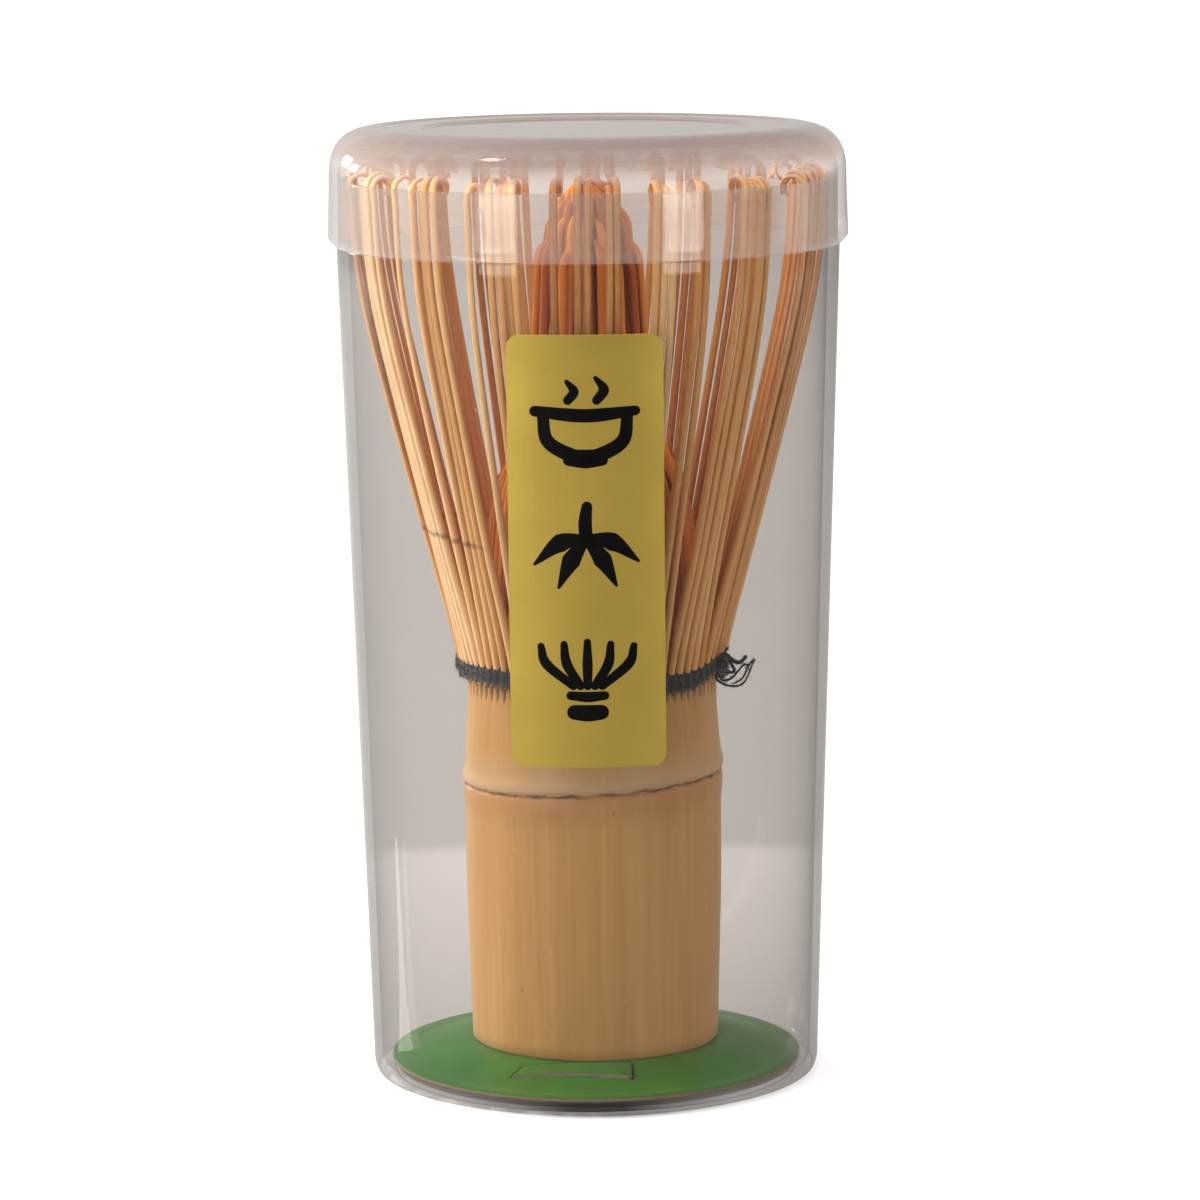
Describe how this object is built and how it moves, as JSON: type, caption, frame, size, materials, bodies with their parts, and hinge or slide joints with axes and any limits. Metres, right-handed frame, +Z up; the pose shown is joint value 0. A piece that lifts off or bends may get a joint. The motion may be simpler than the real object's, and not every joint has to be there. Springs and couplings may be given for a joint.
{
  "type": "bamboo tea whisk",
  "caption": "Bamboo whisk with splayed hooked outer tines and an inner bundle, thread bound, standing on a card in a clear tapered case with a lid.",
  "frame": {"origin": "centre of the case's foot ring, on the surface that it stands on", "axes": "+Z up along the case's and the whisk's common axis, -Y towards the label"},
  "size_m": [0.0602, 0.0602, 0.111],
  "materials": {
    "clear_plastic": "clear thin moulded styrene, glossy, faint draw marks",
    "milky_plastic": "milky translucent thin moulded plastic, glossy",
    "gold_label": null,
    "green_card": "green printed card, matte with fine speckles and grey-brown core",
    "bamboo_handle": "dried bamboo skin, satin, with lengthwise fibres",
    "bamboo_tines": "split bamboo, pale, satin skin outside and fibrous inside",
    "bamboo_inner": "split bamboo core, darker orange-brown",
    "black_thread": "black cotton thread, fuzzy"
  },
  "bodies": {
    "case": {"case_shell": "clear_plastic", "case_label": "gold_label"},
    "card": {"base_card": "green_card"},
    "whisk": {"whisk_handle": "bamboo_handle", "binding_thread": "black_thread", "thread_knot": "black_thread", "thread_tail_upper": "black_thread", "thread_tail_lower": "black_thread", "inner_tines_01": "bamboo_inner", "inner_tines_02": "bamboo_inner", "inner_tines_03": "bamboo_inner", "inner_tines_04": "bamboo_inner", "inner_tines_05": "bamboo_inner", "inner_tines_06": "bamboo_inner", "inner_tines_07": "bamboo_inner", "inner_tines_08": "bamboo_inner", "inner_tines_09": "bamboo_inner", "inner_tines_10": "bamboo_inner", "inner_tines_11": "bamboo_inner", "inner_tines_12": "bamboo_inner", "inner_tines_13": "bamboo_inner", "inner_tines_14": "bamboo_inner", "inner_tines_15": "bamboo_inner", "inner_tines_16": "bamboo_inner"},
    "lid": {"case_lid": "milky_plastic"},
    "stave_01": {"outer_tines_01": "bamboo_tines"},
    "stave_02": {"outer_tines_02": "bamboo_tines"},
    "stave_03": {"outer_tines_03": "bamboo_tines"},
    "stave_04": {"outer_tines_04": "bamboo_tines"},
    "stave_05": {"outer_tines_05": "bamboo_tines"},
    "stave_06": {"outer_tines_06": "bamboo_tines"},
    "stave_07": {"outer_tines_07": "bamboo_tines"},
    "stave_08": {"outer_tines_08": "bamboo_tines"},
    "stave_09": {"outer_tines_09": "bamboo_tines"},
    "stave_10": {"outer_tines_10": "bamboo_tines"},
    "stave_11": {"outer_tines_11": "bamboo_tines"},
    "stave_12": {"outer_tines_12": "bamboo_tines"},
    "stave_13": {"outer_tines_13": "bamboo_tines"},
    "stave_14": {"outer_tines_14": "bamboo_tines"},
    "stave_15": {"outer_tines_15": "bamboo_tines"},
    "stave_16": {"outer_tines_16": "bamboo_tines"}
  },
  "joints": [
    {"name": "card_lift", "type": "slide", "parent": "case", "child": "card", "axis": [0, 0, 1], "range_m": [0, 0.106]},
    {"name": "whisk_lift", "type": "slide", "parent": "card", "child": "whisk", "axis": [0, 0, 1], "range_m": [0, 0.106]},
    {"name": "lid_lift", "type": "slide", "parent": "whisk", "child": "lid", "axis": [0, 0, 1], "range_m": [0, 0.03]},
    {"name": "stave_flex_01", "type": "hinge", "parent": "whisk", "child": "stave_01", "pos_m": [0.0149, 0, 0.0477], "axis": [0, -1, 0], "range_deg": [0, 6], "stiffness_Nm_per_rad": 0.02},
    {"name": "stave_flex_02", "type": "hinge", "parent": "whisk", "child": "stave_02", "pos_m": [0.01377, 0.0057, 0.0477], "axis": [0.3827, -0.9239, 0], "range_deg": [0, 6], "stiffness_Nm_per_rad": 0.02},
    {"name": "stave_flex_03", "type": "hinge", "parent": "whisk", "child": "stave_03", "pos_m": [0.01054, 0.01054, 0.0477], "axis": [0.7071, -0.7071, 0], "range_deg": [0, 6], "stiffness_Nm_per_rad": 0.02},
    {"name": "stave_flex_04", "type": "hinge", "parent": "whisk", "child": "stave_04", "pos_m": [0.0057, 0.01377, 0.0477], "axis": [0.9239, -0.3827, 0], "range_deg": [0, 6], "stiffness_Nm_per_rad": 0.02},
    {"name": "stave_flex_05", "type": "hinge", "parent": "whisk", "child": "stave_05", "pos_m": [0, 0.0149, 0.0477], "axis": [1, 0, 0], "range_deg": [0, 6], "stiffness_Nm_per_rad": 0.02},
    {"name": "stave_flex_06", "type": "hinge", "parent": "whisk", "child": "stave_06", "pos_m": [-0.0057, 0.01377, 0.0477], "axis": [0.9239, 0.3827, 0], "range_deg": [0, 6], "stiffness_Nm_per_rad": 0.02},
    {"name": "stave_flex_07", "type": "hinge", "parent": "whisk", "child": "stave_07", "pos_m": [-0.01054, 0.01054, 0.0477], "axis": [0.7071, 0.7071, 0], "range_deg": [0, 6], "stiffness_Nm_per_rad": 0.02},
    {"name": "stave_flex_08", "type": "hinge", "parent": "whisk", "child": "stave_08", "pos_m": [-0.01377, 0.0057, 0.0477], "axis": [0.3827, 0.9239, 0], "range_deg": [0, 6], "stiffness_Nm_per_rad": 0.02},
    {"name": "stave_flex_09", "type": "hinge", "parent": "whisk", "child": "stave_09", "pos_m": [-0.0149, 0, 0.0477], "axis": [0, 1, 0], "range_deg": [0, 6], "stiffness_Nm_per_rad": 0.02},
    {"name": "stave_flex_10", "type": "hinge", "parent": "whisk", "child": "stave_10", "pos_m": [-0.01377, -0.0057, 0.0477], "axis": [-0.3827, 0.9239, 0], "range_deg": [0, 6], "stiffness_Nm_per_rad": 0.02},
    {"name": "stave_flex_11", "type": "hinge", "parent": "whisk", "child": "stave_11", "pos_m": [-0.01054, -0.01054, 0.0477], "axis": [-0.7071, 0.7071, 0], "range_deg": [0, 6], "stiffness_Nm_per_rad": 0.02},
    {"name": "stave_flex_12", "type": "hinge", "parent": "whisk", "child": "stave_12", "pos_m": [-0.0057, -0.01377, 0.0477], "axis": [-0.9239, 0.3827, 0], "range_deg": [0, 6], "stiffness_Nm_per_rad": 0.02},
    {"name": "stave_flex_13", "type": "hinge", "parent": "whisk", "child": "stave_13", "pos_m": [0, -0.0149, 0.0477], "axis": [-1, 0, 0], "range_deg": [0, 6], "stiffness_Nm_per_rad": 0.02},
    {"name": "stave_flex_14", "type": "hinge", "parent": "whisk", "child": "stave_14", "pos_m": [0.0057, -0.01377, 0.0477], "axis": [-0.9239, -0.3827, 0], "range_deg": [0, 6], "stiffness_Nm_per_rad": 0.02},
    {"name": "stave_flex_15", "type": "hinge", "parent": "whisk", "child": "stave_15", "pos_m": [0.01054, -0.01054, 0.0477], "axis": [-0.7071, -0.7071, 0], "range_deg": [0, 6], "stiffness_Nm_per_rad": 0.02},
    {"name": "stave_flex_16", "type": "hinge", "parent": "whisk", "child": "stave_16", "pos_m": [0.01377, -0.0057, 0.0477], "axis": [-0.3827, -0.9239, 0], "range_deg": [0, 6], "stiffness_Nm_per_rad": 0.02}
  ]
}
